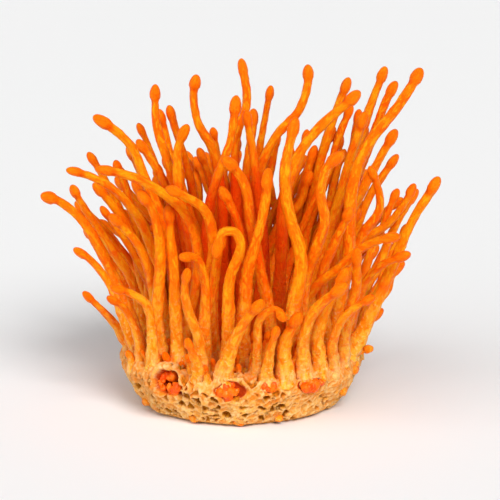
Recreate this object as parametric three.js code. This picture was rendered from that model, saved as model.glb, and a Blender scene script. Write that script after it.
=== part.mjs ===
// Cordyceps bunch: orange fruiting bodies standing on the round cake of grain and mycelium that they
// grew from. Millimetres, +Z up, front towards -Y. The origin is the centre of the cake's flat
// underside.
import * as THREE from "three";

// Driving dimensions.
const CAKE_HEIGHT = 14;
const CAKE_TOP_RADIUS = 36.5;
const CAKE_FOOT_RADIUS = 30.5;
const CAKE_SIDES = 44;
const RIM_MARGIN = 0.8; // from the outermost roots to the cake's rim
const CLEARANCE = 0.4; // between neighbouring pieces, and between a root and the cake
const ROOT_Z = CAKE_HEIGHT + CLEARANCE;
const STALK_SIDES = 7;
const TUFT_SIDES = 9;
const RING_SPACING = 9; // between the rings of most stalks, measured along them

// How thick a stalk is along its length, in units of its own radius: it flares where it roots, narrows
// all the way up to a neck, and ends in an egg-shaped head.
const ROOT_WIDTH = 1.5;
const FLARE_LENGTH = 5;
const FOOT_WIDTH = 1.24; // above the flare
const NECK_WIDTH = 0.75;
const HEAD_LENGTH = 3.2;
const HEAD_SHARE = 0.45; // of a short stalk's length, that its head takes up at most
const PAST_MIDDLE = 0.9; // from the end of its path to its tip
const HEAD_RINGS = [
  { left: 0.55, width: 0.98 },
  { left: 0.16, width: 0.68 },
];

// A tuft stands in for a handful of stalks that rise from one spot: a column that widens towards a
// blunt top.
const TUFT_FOOT = 0.55;
const TUFT_SHOULDER = 0.82;
const TUFT_TOP_SHARE = 0.3; // of its length, that its top takes up at most
const PAST_TUFT = 0.3; // from the end of its path to its top
const TUFT_TOP_RINGS = [{ left: 0.45, width: 1 }, { left: 0.1, width: 0.6 }];

// The fruiting bodies. root is [x, y] on top of the cake, path is [x, y, z] up to the middle of the
// head, and r is the radius halfway up the shaft.
const STALKS = {
  // Short ones round the front rim.
  front_stalk_1: { r: 1.3, root: [-12, -32], path: [[-13, -36, 20], [-15, -39, 27]] },
  front_stalk_2: {
    r: 1.5, root: [-11, -26],
    path: [[-12, -30, 26], [-14, -33, 34], [-16, -36, 42], [-15, -38, 49]],
  },
  front_stalk_3: { r: 1.8, root: [-5, -33], path: [[-3, -37, 23], [1, -41, 33], [6, -45, 40]] },
  front_stalk_4: {
    r: 1.3, root: [5, -29],
    path: [[5, -34, 26], [6, -37, 34], [9, -39, 38], [12, -42, 35]],
  },
  front_stalk_5: { r: 1.3, root: [8, -33], path: [[9, -38, 24], [11, -42, 32]] },
  front_stalk_6: { r: 1.8, root: [14, -31], path: [[14, -34, 25], [17.5, -38, 34]] },
  front_stalk_7: { r: 1.8, root: [20, -28], path: [[19, -34, 26], [22, -38, 36], [30, -44, 45]] },
  front_stalk_8: { r: 1.7, root: [24, -24], path: [[24, -30, 30], [31, -34, 47]] },
  front_stalk_9: { r: 1.4, root: [28, -21], path: [[28, -31, 28], [32, -34, 35], [38, -38, 40]] },
  front_stalk_10: { r: 1.6, root: [31, -15], path: [[32, -25, 30], [34, -30, 42], [34, -34, 53]] },

  // The long ones in the middle.
  middle_stalk_1: {
    r: 1.6, root: [-10, -20],
    path: [[-10, -28, 32], [-10, -31, 43], [-12, -35, 51], [-16, -39, 52]],
  },
  middle_stalk_2: { r: 1.7, root: [-8, -15], path: [[-9, -22, 33], [-8, -23, 44], [-6, -25, 56]] },
  middle_stalk_3: {
    r: 1.7,
    spacing: 3.5, // as it arches over in a tight bend
    root: [-4, -22],
    path: [
      [-3, -31, 32], [-3, -33, 39], [-2.7, -34.5, 46], [-1, -35.5, 51], [0.5, -36, 55], [0, -36.5, 58.5],
      [-2.7, -37, 61], [-5.3, -36.5, 58], [-6.4, -36, 53],
    ],
  },
  middle_stalk_4: {
    r: 1.9, root: [1, -20],
    path: [[1, -26, 33], [2, -27, 45], [5, -28, 56], [7, -28, 65], [8, -28, 75]],
  },
  middle_stalk_5: {
    r: 1.8, root: [10, -14],
    path: [[8, -20, 36], [5, -21, 49], [3, -23, 62], [1, -26, 73], [-4, -29, 79]],
  },
  middle_stalk_6: {
    r: 1.9, root: [16, -22],
    path: [[16, -27, 34], [18, -29, 49], [15, -27, 61], [13, -25, 75], [16, -23, 89]],
  },
  middle_stalk_7: {
    r: 1.7,
    root: [20, -15],
    path: [[19, -21, 36], [21, -24, 49], [25, -29, 59], [24, -31, 68], [23, -31, 75], [29, -32, 81]],
  },
  middle_stalk_8: {
    r: 1.6, root: [-13, -11],
    path: [[-10, -19, 36], [-8, -24, 55], [-11, -28, 65], [-20, -33, 71]],
  },
  middle_stalk_9: { r: 1.6, root: [-2, -9], path: [[2, -17, 44], [0, -20, 58], [-5, -23, 69]] },
  middle_stalk_10: {
    r: 1.8, root: [12, -4],
    path: [[12, -9, 45], [14, -10, 68], [19, -10, 80], [34, -11, 95]],
  },
  middle_stalk_11: {
    r: 1.6, root: [8, 3],
    path: [[7, 0, 46], [5, 0, 67], [11, -1, 81], [19, -2, 91], [20, -2, 101]],
  },
  middle_stalk_12: {
    r: 1.7, root: [-7, -1],
    path: [[-11, -8, 48], [-9, -9, 65], [-4, -9, 80], [-2, -9, 93]],
  },
  middle_stalk_13: {
    r: 1.6, root: [1, 7],
    path: [[-1, 4, 54], [-1, 4, 80], [2, 4, 91], [0.5, 4, 102]],
  },
  middle_stalk_14: { r: 1.6, root: [4, -3], path: [[7, -2, 49], [4, -3, 74], [2, -3, 88]] },
  middle_stalk_15: {
    r: 1.6, root: [-7, 8],
    path: [[-5, 5, 48], [-8, 5, 76], [-14, 5, 87], [-13, 5, 97]],
  },

  // The left side, leaning out.
  left_stalk_1: {
    r: 1.7, root: [-29, -4],
    path: [[-36, -4, 35], [-45, -5, 53], [-51, -6, 61], [-57.5, -8, 64]],
  },
  left_stalk_2: {
    r: 1.4, root: [-28, 7],
    path: [[-33, 6, 35], [-41, 5, 49], [-47, 4, 58], [-50, 4, 64]],
  },
  left_stalk_3: { r: 1.4, root: [-30, -10], path: [[-37, -11, 34], [-43, -13, 45], [-48, -14, 49]] },
  left_stalk_4: { r: 1.3, root: [-33, 0], path: [[-38, -4, 24], [-42, -6, 29], [-46, -9, 34]] },
  left_stalk_5: { r: 1.3, root: [-29, -15], path: [[-31, -18, 26], [-33, -20, 32], [-38, -22, 36]] },
  left_stalk_6: { r: 1.4, root: [-25, -21], path: [[-26, -25, 31], [-28, -28, 38], [-36, -32, 42]] },
  left_stalk_7: {
    r: 1.8, root: [-23, -18],
    path: [[-24, -20, 29], [-23, -21, 49], [-24, -22, 62], [-28, -24, 68]],
  },
  left_stalk_8: { r: 1.7, root: [-18, -22], path: [[-19, -22, 33], [-20, -22, 49], [-21, -21, 63]] },
  left_stalk_9: { r: 1.6, root: [-25, -10], path: [[-26, -14, 40], [-30, -18, 52], [-37, -23, 61]] },
  left_stalk_10: {
    r: 1.5, root: [-22, 3],
    path: [[-26, -5, 47], [-33, -9, 62], [-41, -12, 70], [-49.5, -14, 73]],
  },
  left_stalk_11: {
    r: 1.6,
    root: [-17, -13],
    path: [[-12, -17, 44], [-14, -20, 59], [-23, -24, 69], [-32, -26, 74], [-40, -28, 76]],
  },
  left_stalk_12: {
    r: 1.7, root: [-17, 4],
    path: [[-22, -2, 50], [-29, -4, 71], [-34, -5, 81], [-42, -6, 87]],
  },
  left_stalk_13: { r: 1.5, root: [-15, 11], path: [[-19, 4, 52], [-24, 3, 69], [-30, 3, 78]] },
  left_stalk_14: {
    r: 1.5, root: [-11, 3],
    path: [[-17, 0, 52], [-22, 0, 75], [-25, 0, 86], [-25, 0, 95]],
  },
  left_stalk_15: {
    r: 1.7, root: [-12, -4],
    path: [[-13, -7, 44], [-17, -7, 67], [-18, -6, 77], [-15, -6, 84]],
  },

  // The right side, leaning out.
  right_stalk_1: {
    r: 1.7, root: [33, -7],
    path: [[39, -8, 27], [45, -10, 42], [50, -12, 55], [58, -14, 70]],
  },
  right_stalk_2: { r: 1.5, root: [32, -1], path: [[36, -12, 36], [41, -17, 45], [49, -20, 49]] },
  right_stalk_3: {
    r: 1.6, root: [22, -7],
    path: [[21, -18, 37], [31, -25, 48], [38, -29, 55], [45, -31, 57]],
  },
  right_stalk_4: { r: 1.6, root: [26, -11], path: [[24, -18, 44], [28, -21, 54], [31.5, -23, 62.5]] },
  right_stalk_5: {
    r: 1.5, root: [28, 4],
    path: [[35, -5, 50], [40, -8, 58], [41, -9, 65], [38, -10, 73]],
  },
  right_stalk_6: { r: 1.4, root: [29, 11], path: [[36, 7, 46], [45, 6, 53], [49, 6, 58], [52, 6, 64]] },
  right_stalk_7: {
    r: 1.8, root: [27, -5],
    path: [[33, -9, 48], [34, -10, 69], [40, -10, 82], [47, -10, 91], [53, -10, 101]],
  },
  right_stalk_8: { r: 1.6, root: [22, 9], path: [[33, 4, 56], [40, 3, 70], [46, 3, 81]] },
  right_stalk_9: { r: 1.7, root: [17, 2], path: [[29, 3, 59], [34, 4, 76], [37, 4, 86]] },
};

// Where the stalks stand too thick to be told apart, each tuft is one solid that reaches the tips of
// its stalks.
const TUFTS = {
  left_tuft: { r: 6, root: [-25, 16], path: [[-33, 18, 46], [-42, 17, 68]] },
  middle_left_tuft: { r: 6.5, root: [-13, 20], path: [[-16, 20, 52], [-22, 20, 80]] },
  middle_tuft: { r: 6.5, root: [0, 18], path: [[0, 20, 52], [2, 20, 84]] },
  middle_right_tuft: { r: 6.5, root: [13, 18], path: [[17, 19, 52], [25, 18, 86]] },
  right_tuft: { r: 6, root: [24, 19], path: [[33, 20, 56], [42, 18, 90]] },
  right_rim_tuft: { r: 5, root: [33, 5], path: [[42, 12, 38], [50, 15, 54]] },
  back_left_tuft: { r: 8.5, root: [-18, 28], path: [[-27, 38, 42], [-36, 47, 60]] },
  back_middle_left_tuft: { r: 8.5, root: [-6, 31], path: [[-8, 42, 44], [-12, 52, 66]] },
  back_middle_right_tuft: { r: 8.5, root: [7, 31], path: [[10, 43, 44], [15, 53, 64]] },
  back_right_tuft: { r: 8.5, root: [19, 27], path: [[29, 37, 42], [39, 46, 60]] },
};

const STALK_COLOUR = 0xf57c0a;
const CAKE_COLOUR = 0xe0b878;
const STALK_FINISH = { roughness: 0.5, metalness: 0 };
const CAKE_FINISH = { roughness: 0.85, metalness: 0 };

// A closed skin over rings of points, each ring with the same count, from a bottom pole to a top pole.
function skin(bottom, rings, top) {
  const sides = rings[0].length;
  const points = [bottom, ...rings.flat(), top];
  const last = points.length - 1;
  const at = (ring, side) => 1 + ring * sides + (side % sides);
  const index = [];
  for (let side = 0; side < sides; side++) {
    index.push(0, at(0, side + 1), at(0, side));
    for (let ring = 0; ring + 1 < rings.length; ring++) {
      index.push(at(ring, side), at(ring, side + 1), at(ring + 1, side + 1));
      index.push(at(ring, side), at(ring + 1, side + 1), at(ring + 1, side));
    }
    index.push(last, at(rings.length - 1, side), at(rings.length - 1, side + 1));
  }
  const geometry = new THREE.BufferGeometry().setFromPoints(points);
  geometry.setIndex(index);
  geometry.computeVertexNormals();
  return geometry;
}

// The cake: a low round block moulded by the bottom of its jar, narrower at the foot, with an uneven
// outline.
function cakeGeometry() {
  const outline = [
    { radius: CAKE_FOOT_RADIUS - 2.5, z: 0, uneven: 0 },
    { radius: CAKE_FOOT_RADIUS, z: 1.2, uneven: 0.4 },
    { radius: CAKE_FOOT_RADIUS + 3, z: 6, uneven: 0.7 },
    { radius: CAKE_TOP_RADIUS - 0.4, z: 11.5, uneven: 0.7 },
    { radius: CAKE_TOP_RADIUS - 0.5, z: 13.2, uneven: 0.5 },
    { radius: CAKE_TOP_RADIUS - 2, z: CAKE_HEIGHT, uneven: 0.3 },
  ];
  const rings = outline.map(({ radius, z, uneven }) =>
    Array.from({ length: CAKE_SIDES }, (_, side) => {
      const angle = (side / CAKE_SIDES) * 2 * Math.PI;
      const wobble =
        Math.sin(3 * angle + 1) + 0.6 * Math.sin(7 * angle + z) + 0.4 * Math.sin(11 * angle - z);
      const r = radius + uneven * wobble;
      return new THREE.Vector3(r * Math.cos(angle), r * Math.sin(angle), z);
    }),
  );
  return skin(new THREE.Vector3(0, 0, 0), rings, new THREE.Vector3(0, 0, CAKE_HEIGHT));
}

// The rings of a stalk or a tuft, as distances along it from the root and radii.
function stations(piece, length) {
  const { r, spacing, isTuft } = piece;
  const headLength = Math.min(HEAD_LENGTH * r, (isTuft ? TUFT_TOP_SHARE : HEAD_SHARE) * length);
  const neckAt = length - headLength;
  const rings = [{ along: 0, radius: r * (isTuft ? TUFT_FOOT : ROOT_WIDTH) }];
  if (!isTuft) rings.push({ along: Math.min(FLARE_LENGTH, neckAt / 2), radius: r * FOOT_WIDTH });
  const [low, high] = isTuft ? [TUFT_FOOT, TUFT_SHOULDER] : [FOOT_WIDTH, NECK_WIDTH];
  const start = rings[rings.length - 1].along;
  const steps = Math.max(1, Math.round((neckAt - start) / spacing));
  for (let step = 1; step <= steps; step++) {
    const share = step / steps;
    rings.push({ along: start + (neckAt - start) * share, radius: r * (low + (high - low) * share) });
  }
  const top = isTuft ? TUFT_TOP_RINGS : HEAD_RINGS;
  top.forEach(({ left, width }) => rings.push({ along: length - left * headLength, radius: r * width }));
  return rings;
}

// The radius anywhere along a piece, between its rings.
function radiusAt(rings, along) {
  const next = rings.findIndex((ring) => ring.along >= along);
  if (next === 0) return rings[0].radius;
  if (next < 0) return rings[rings.length - 1].radius;
  const [a, b] = [rings[next - 1], rings[next]];
  return THREE.MathUtils.mapLinear(along, a.along, b.along, a.radius, b.radius);
}

// The closest points of two segments, as the shares s along p1-q1 and t along p2-q2.
function closestShares(p1, q1, p2, q2) {
  const d1 = q1.clone().sub(p1);
  const d2 = q2.clone().sub(p2);
  const between = p1.clone().sub(p2);
  const [a, e, b] = [d1.dot(d1), d2.dot(d2), d1.dot(d2)];
  const [c, f] = [d1.dot(between), d2.dot(between)];
  const clamp = (x) => THREE.MathUtils.clamp(x, 0, 1);
  const crossing = a * e - b * b;
  let s = crossing > 1e-9 ? clamp((b * f - c * e) / crossing) : 0.5;
  const t = clamp((b * s + f) / e);
  s = clamp((b * t - c) / a);
  return [s, t];
}

// Growing stalks push each other aside. Each is a chain of points, and chains that touch are moved
// apart until all are clear, while each chain keeps the shape it was given as nearly as it can.
const CHAIN_LINKS = 14;
const GROWTH_STEPS = 400;
const SLACK = 0.998; // the share of its displacement that a chain keeps each step
const SETTLE_STEPS = 120; // the last steps only push, and no longer pull back

function chainOf(name, { r, root, path, spacing = RING_SPACING }, isTuft) {
  const route = [new THREE.Vector3(root[0], root[1], ROOT_Z), ...path.map((p) => new THREE.Vector3(...p))];
  const headward = route.at(-1).clone().sub(route.at(-2)).normalize();
  route.push(route.at(-1).clone().addScaledVector(headward, r * (isTuft ? PAST_TUFT : PAST_MIDDLE)));
  const curve = new THREE.CatmullRomCurve3(route, false, "centripetal");
  const points = curve.getSpacedPoints(CHAIN_LINKS);
  const length = curve.getLength();
  const rings = stations({ r, spacing, isTuft }, length);
  const radii = points.map((_, i) => radiusAt(rings, (i / CHAIN_LINKS) * length));
  const start = points.map((p) => p.clone());
  return { name, r, spacing, isTuft, points, radii, start, link: length / CHAIN_LINKS };
}

function pushApart(a, b) {
  let worst = 0;
  const reach = (a.link + b.link) / 2;
  for (let i = 0; i < CHAIN_LINKS; i++) {
    for (let j = 0; j < CHAIN_LINKS; j++) {
      const near = reach * 1.6 + a.radii[i] + b.radii[j] + 2;
      if (a.points[i].distanceToSquared(b.points[j]) > near * near) continue;
      const ends = [a.points[i], a.points[i + 1], b.points[j], b.points[j + 1]];
      const [s, t] = closestShares(...ends);
      const gap = ends[2].clone().lerp(ends[3], t).sub(ends[0].clone().lerp(ends[1], s));
      const wanted =
        Math.max(a.radii[i], a.radii[i + 1]) + Math.max(b.radii[j], b.radii[j + 1]) + CLEARANCE;
      const overlap = wanted - gap.length();
      if (overlap <= 0) continue;
      worst = Math.max(worst, overlap);
      const heavier = b.isTuft === a.isTuft ? 0.5 : a.isTuft ? 0.15 : 0.85;
      const push = gap.normalize().multiplyScalar(overlap);
      ends[0].addScaledVector(push, -heavier * (1 - s));
      ends[1].addScaledVector(push, -heavier * s);
      ends[2].addScaledVector(push, (1 - heavier) * (1 - t));
      ends[3].addScaledVector(push, (1 - heavier) * t);
    }
  }
  return worst;
}

function keepShape(chain, slack) {
  const moved = chain.points.map((p, i) => p.clone().sub(chain.start[i]));
  const even = moved.map((d, i) => {
    const before = moved[Math.max(0, i - 1)];
    const after = moved[Math.min(CHAIN_LINKS, i + 1)];
    return d.clone().multiplyScalar(0.5).addScaledVector(before, 0.25).addScaledVector(after, 0.25);
  });
  const rootLimit = CAKE_TOP_RADIUS - RIM_MARGIN - chain.radii[0];
  chain.points.forEach((p, i) => p.copy(chain.start[i]).addScaledVector(even[i], slack));
  const foot = chain.points[0];
  const out = Math.hypot(foot.x, foot.y);
  if (out > rootLimit) foot.multiplyScalar(rootLimit / out);
  foot.z = ROOT_Z;
  const floor = ROOT_Z + 0.8;
  chain.points.slice(1).forEach((p, i) => (p.z = Math.max(p.z, floor + chain.radii[i + 1])));
}

function grow(chains) {
  for (let step = 0; step < GROWTH_STEPS; step++) {
    let worst = 0;
    chains.forEach((a, i) => {
      chains.slice(i + 1).forEach((b) => {
        worst = Math.max(worst, pushApart(a, b));
      });
    });
    const settling = step >= GROWTH_STEPS - SETTLE_STEPS;
    if (settling && worst < CLEARANCE / 8) break;
    chains.forEach((chain) => keepShape(chain, settling ? 1 : SLACK));
  }
}

// The faceted solid of a grown chain: a ring of corners at each station, and a pole at the root and at
// the tip.
function chainGeometry(chain) {
  const curve = new THREE.CatmullRomCurve3(chain.points, false, "centripetal");
  curve.arcLengthDivisions = 20 * CHAIN_LINKS;
  const length = curve.getLength();
  const sides = chain.isTuft ? TUFT_SIDES : STALK_SIDES;
  const across = new THREE.Vector3(1, 0, 0);
  const rings = stations(chain, length).map(({ along, radius }) => {
    const share = Math.min(1, along / length);
    const centre = curve.getPointAt(share);
    const forward = along === 0 ? new THREE.Vector3(0, 0, 1) : curve.getTangentAt(share);
    across.addScaledVector(forward, -across.dot(forward)).normalize();
    const other = forward.clone().cross(across);
    return Array.from({ length: sides }, (_, side) => {
      const angle = (side / sides) * 2 * Math.PI;
      return centre
        .clone()
        .addScaledVector(across, radius * Math.cos(angle))
        .addScaledVector(other, radius * Math.sin(angle));
    });
  });
  return skin(chain.points[0], rings, curve.getPointAt(1));
}

function meshOf(name, geometry, color, finish) {
  const mesh = new THREE.Mesh(geometry, new THREE.MeshStandardMaterial({ color, ...finish }));
  mesh.name = name;
  return mesh;
}

const chains = [
  ...Object.entries(STALKS).map(([name, stalk]) => chainOf(name, stalk, false)),
  ...Object.entries(TUFTS).map(([name, tuft]) => chainOf(name, tuft, true)),
];
grow(chains);

const bunch = new THREE.Group();
bunch.add(meshOf("substrate_cake", cakeGeometry(), CAKE_COLOUR, CAKE_FINISH));
chains.forEach((chain) => bunch.add(meshOf(chain.name, chainGeometry(chain), STALK_COLOUR, STALK_FINISH)));

export default bunch;
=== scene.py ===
"""The looks of the cordyceps bunch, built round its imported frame.

Each fruiting body gets a fine skin that follows its CAD solid, each tuft's solid is replaced by the
separate fruiting bodies that it stands for, and the cake gets its pits, hollows, nodules and buds.
Lengths are in millimetres until a mesh is made.
"""

import functools
import math

import bmesh
import bpy
import numpy as np
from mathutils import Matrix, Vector, noise


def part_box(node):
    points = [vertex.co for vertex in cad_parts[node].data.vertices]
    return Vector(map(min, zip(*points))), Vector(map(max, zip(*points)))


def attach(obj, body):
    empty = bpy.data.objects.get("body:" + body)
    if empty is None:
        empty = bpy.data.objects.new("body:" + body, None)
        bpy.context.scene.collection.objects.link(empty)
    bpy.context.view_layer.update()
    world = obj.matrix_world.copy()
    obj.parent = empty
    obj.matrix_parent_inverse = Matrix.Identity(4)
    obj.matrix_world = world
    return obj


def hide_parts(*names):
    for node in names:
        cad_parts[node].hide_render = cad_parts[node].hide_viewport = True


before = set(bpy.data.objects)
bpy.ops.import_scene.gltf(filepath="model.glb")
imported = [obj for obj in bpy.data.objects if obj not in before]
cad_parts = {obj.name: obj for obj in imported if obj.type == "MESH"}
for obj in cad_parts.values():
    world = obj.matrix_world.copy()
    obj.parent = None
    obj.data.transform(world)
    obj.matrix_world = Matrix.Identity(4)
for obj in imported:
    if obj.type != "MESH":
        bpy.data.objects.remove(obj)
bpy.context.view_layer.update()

MM = 0.001

# The camera: where it looks, and from where.
CAMERA_TARGET = (3, 0, 46)
CAMERA_DISTANCE = 800
CAMERA_ELEVATION = 13  # degrees
VIEW_WIDTH = 150  # seen across, at the target
SENSOR_WIDTH = 36

# The stage. Its sizes are in metres. A light has a direction that it comes from, a strength and an
# angle in degrees.
FLOOR_SIZE = 8
FARTHEST = 20
KEY_LIGHT = ((0.32, -0.8, 0.7), 2.85, 30)
FILL_LIGHT = ((-0.6, -0.6, 0.6), 1.5, 70)
ROOM_LIGHT = 0.2

# Fruiting bodies. Widths are in units of the shaft's radius halfway up, as in the CAD solids.
SKIN_SIDES = 20
SKIN_STEP = 0.8  # between rings along a stalk
TUFT_SIDES = 16
TUFT_STEP = 1.0
BUD_STEP = 0.7
FEWEST_RINGS = 6  # on a shaft
DOME_RINGS = 7
SUNK = 2.6  # how far a root reaches into the cake
PALE_HEIGHT = 36  # the paleness of a root ends about this high up, or below the head of a shorter one
ROOT_WIDTH = 1.5
FOOT_WIDTH = 1.24
NECK_WIDTH = 0.75
FLARE = 0.55
FLARE_LENGTH = 5.5
HEAD_WIDTH = 0.98
HEAD_LENGTH = 3.2
HEAD_WIDTH_SPREAD = (0.94, 1.1)
HEAD_LENGTH_SPREAD = (0.9, 1.15)
DOME_SHARE = 0.6  # of the head's length
LONGEST_HEAD = 0.6  # of the stalk's length
COLLAR = (1.02, 0.72)  # where the shaft gives way to the head, in head lengths from the tip
WANDER = 0.16  # how far a stalk's middle line wanders from side to side
WANDER_LENGTHS = (4.7, 5.9)  # how far along it is for each radian, in its two directions
CALM_LENGTH = 12  # nearer its ends than this, a stalk wanders less
TWIST = (25, 60)  # how far along a stalk its section turns by a radian
OVAL, LOBED = (0.02, 0.06), (0.01, 0.035)  # how far its section is from round
DENT_DEPTH = (0.08, 0.2)
DENT_WIDTH = 0.75  # in radians
DENT_LENGTH = 0.9
# The relief of a skin: its height, and how close it is across and along the stalk.
FOLDS = (0.08, (0.9, 0.9, 0.16))
DIMPLES = (0.13, (0.9, 0.9, 0.5))
PIMPLES = (0.05, (1.4, 1.4, 1.4))
ROUGH_ROOT = 1.5  # how much stronger the relief is at the root
ROUGH_LENGTH = 8
SEED_SHIFT = 7.3  # how far apart the textures of two stalks lie
MEMBER_RADII = (1.25, 1.7)  # of the fruiting bodies in the tufts
MEMBER_CLEARANCE = 0.2
FIXED_STEP = 1.5  # between the points of a single stalk that the tufts keep clear of
OUTER_RADIUS = 34  # of the whole bunch, at the cake's top
OUTER_SLOPE = 0.35  # how much wider it gets for each millimetre of height
OPEN_HEIGHTS = (92, 58)  # over the first the fruiting bodies stand free and get no painted shade, under the second they crowd and get it fully

# Each fruiting body has a seed of its own. The single stalks have the numbers from 0 up.
MEMBER_SEED = 200
BUD_SEED = 700
RIM_BUD_SEED = 880
LUMP_SEED = 900
# The seeds of what is drawn for many at once.
RADII_SEED, NODULE_SEED, BUDS_SEED = 3, 5, 8

CAKE_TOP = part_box("substrate_cake")[1].z / MM


# ---------------------------------------------------------------- reading the frame


def rings_of(node):
    """The rings of corners of a CAD solid, from the root up, and the pole at its tip."""
    bm = bmesh.new()
    bm.from_mesh(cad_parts[node].data)
    bmesh.ops.remove_doubles(bm, verts=bm.verts, dist=1e-6)
    sides = max(len(v.link_edges) for v in bm.verts)
    poles = [v for v in bm.verts if len(v.link_edges) == sides]
    level = [min(poles, key=lambda v: v.co.z)]
    seen = set(level)
    rings = []
    while level:
        rings.append(np.array([v.co[:] for v in level]) / MM)
        around = {e.other_vert(v) for v in level for e in v.link_edges}
        level = [v for v in around if v not in seen]
        seen.update(level)
    bm.free()
    return rings[1:-1], rings[-1][0]


def centreline(node):
    """The middle of a CAD stalk or tuft, from root to tip, and its radius at each point but the tip."""
    rings, tip = rings_of(node)
    middles = [ring.mean(axis=0) for ring in rings]
    radii = [np.linalg.norm(ring - middle, axis=1).mean() for ring, middle in zip(rings, middles)]
    return np.array(middles + [tip]), np.array(radii)


# ---------------------------------------------------------------- shapes


def distances(line):
    """How far along it each point of a line is."""
    return np.concatenate([[0], np.cumsum(np.linalg.norm(np.diff(line, axis=0), axis=1))])


def smooth_line(points, at):
    """Points at given distances along the smooth curve through some points."""
    knots = distances(points)
    slopes = np.gradient(points, knots, axis=0)
    i = np.clip(np.searchsorted(knots, at, side="right") - 1, 0, len(knots) - 2)
    gap = (knots[i + 1] - knots[i])[:, None]
    u = ((at - knots[i]) / gap[:, 0])[:, None]
    rise = points[i] * (2 * u**3 - 3 * u**2 + 1) + slopes[i] * gap * (u**3 - 2 * u**2 + u)
    return rise + points[i + 1] * (3 * u**2 - 2 * u**3) + slopes[i + 1] * gap * (u**3 - u**2)


def noise_at(points):
    return np.array([noise.noise(Vector(p)) for p in points])


def smoothstep(low, high, x):
    t = np.clip((x - low) / (high - low), 0, 1)
    return t * t * (3 - 2 * t)


class Skin:
    """Vertices, triangles and per-vertex numbers, gathered until they become one mesh."""

    def __init__(self):
        self.points, self.triangles, self.numbers, self.count = [], [], {}, 0

    def add(self, points, triangles, **numbers):
        self.points.append(points)
        self.triangles.append(triangles + self.count)
        for key, values in numbers.items():
            self.numbers.setdefault(key, []).append(values)
        self.count += len(points)

    def to_object(self, name, material, replaces=(), slot="fruiting_body"):
        mesh = bpy.data.meshes.new(name)
        points = np.concatenate(self.points) * MM
        mesh.from_pydata(points.tolist(), [], np.concatenate(self.triangles).tolist())
        for key, values in self.numbers.items():
            data = np.concatenate(values).astype(np.float32)
            kind = "FLOAT_VECTOR" if data.ndim == 2 else "FLOAT"
            field = "vector" if data.ndim == 2 else "value"
            mesh.attributes.new(key, kind, "POINT").data.foreach_set(field, data.ravel())
        mesh.shade_smooth()
        mesh.materials.append(material)
        piece = bpy.data.objects.new(name, mesh)
        bpy.context.scene.collection.objects.link(piece)
        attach(piece, "root")
        if replaces:
            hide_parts(*replaces)


def tube_triangles(rings, sides):
    """Triangles of a tube of rings. After the rings come the pole at its root and the one at its tip."""
    ring, side = np.meshgrid(np.arange(rings - 1), np.arange(sides), indexing="ij")
    a, b = ring * sides + side, ring * sides + (side + 1) % sides
    c, d = b + sides, a + sides
    walls = np.stack([a, b, c, a, c, d], axis=-1).reshape(-1, 3)
    around = np.arange(sides)
    after = (around + 1) % sides
    last = (rings - 1) * sides
    foot = np.stack([np.full(sides, rings * sides), after, around], axis=-1)
    top = np.stack([np.full(sides, rings * sides + 1), last + around, last + after], axis=-1)
    return np.concatenate([walls, foot, top])


def carried_frames(line):
    """Two directions across a line at each point, carried along it without twisting."""
    forward = np.gradient(line, axis=0)
    forward /= np.linalg.norm(forward, axis=1)[:, None]
    across = np.zeros_like(line)
    last = np.array([1.0, 0.0, 0.0])
    for i, f in enumerate(forward):
        last = last - f * last.dot(f)
        last /= np.linalg.norm(last)
        across[i] = last
    return across, np.cross(forward, across)


def stalk_stations(length, head, step):
    """How far along a stalk its rings are: even up the shaft, then closer over the head's dome."""
    dome = DOME_SHARE * head
    shaft = np.linspace(0, length - dome, max(FEWEST_RINGS, int((length - dome) / step)))
    bend = np.arange(1, DOME_RINGS) / DOME_RINGS * math.pi / 2
    return np.concatenate([shaft, length - dome + dome * np.sin(bend)])


def stalk_radius(r, at, length, head, head_r, phase, calm, vigour):
    """The radius along a stalk, which flares at the root, narrows all the way up and ends in an egg."""
    up, left, dome = at - SUNK, length - at, DOME_SHARE * head
    share = np.clip(up / (length - SUNK - head), 0, 1)
    flare = FLARE * vigour * np.exp(-((np.clip(up, 0, None) / FLARE_LENGTH) ** 1.2))
    uneven = 0.05 * np.sin(at / 6.3 + phase[2]) + 0.03 * np.sin(at / 2.9 + phase[0])
    narrowing = FOOT_WIDTH + (NECK_WIDTH - FOOT_WIDTH) * share
    shaft = r * (narrowing + flare + uneven * (0.4 + 0.6 * calm))
    collar = smoothstep(COLLAR[0] * head, COLLAR[1] * head, left)
    egg = head_r * np.sqrt(np.clip(1 - (np.clip(dome - left, 0, None) / dome) ** 2, 0, 1))
    return shaft * (1 - collar) + egg * collar


def skin_relief(grown):
    """Folds that run along a stalk, dimples and pimples, in shares of its radius."""
    relief = 0
    for (height, scale), shift in ((FOLDS, 0), (DIMPLES, 31), (PIMPLES, 57)):
        points = (grown * scale + shift).reshape(-1, 3)
        relief = relief + height * noise_at(points).reshape(grown.shape[:2])
    return relief


def depth_inside(line):
    """How deep inside the bunch each point of a line is: 0 outside, 1 at the middle, less where the
    stalks stand free. The flesh gets that much painted shade.
    """
    envelope = OUTER_RADIUS + OUTER_SLOPE * (line[:, 2] - CAKE_TOP)
    crowded = smoothstep(*OPEN_HEIGHTS, line[:, 2])
    return (1 - np.hypot(line[:, 0], line[:, 1]) / envelope) * crowded


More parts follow.
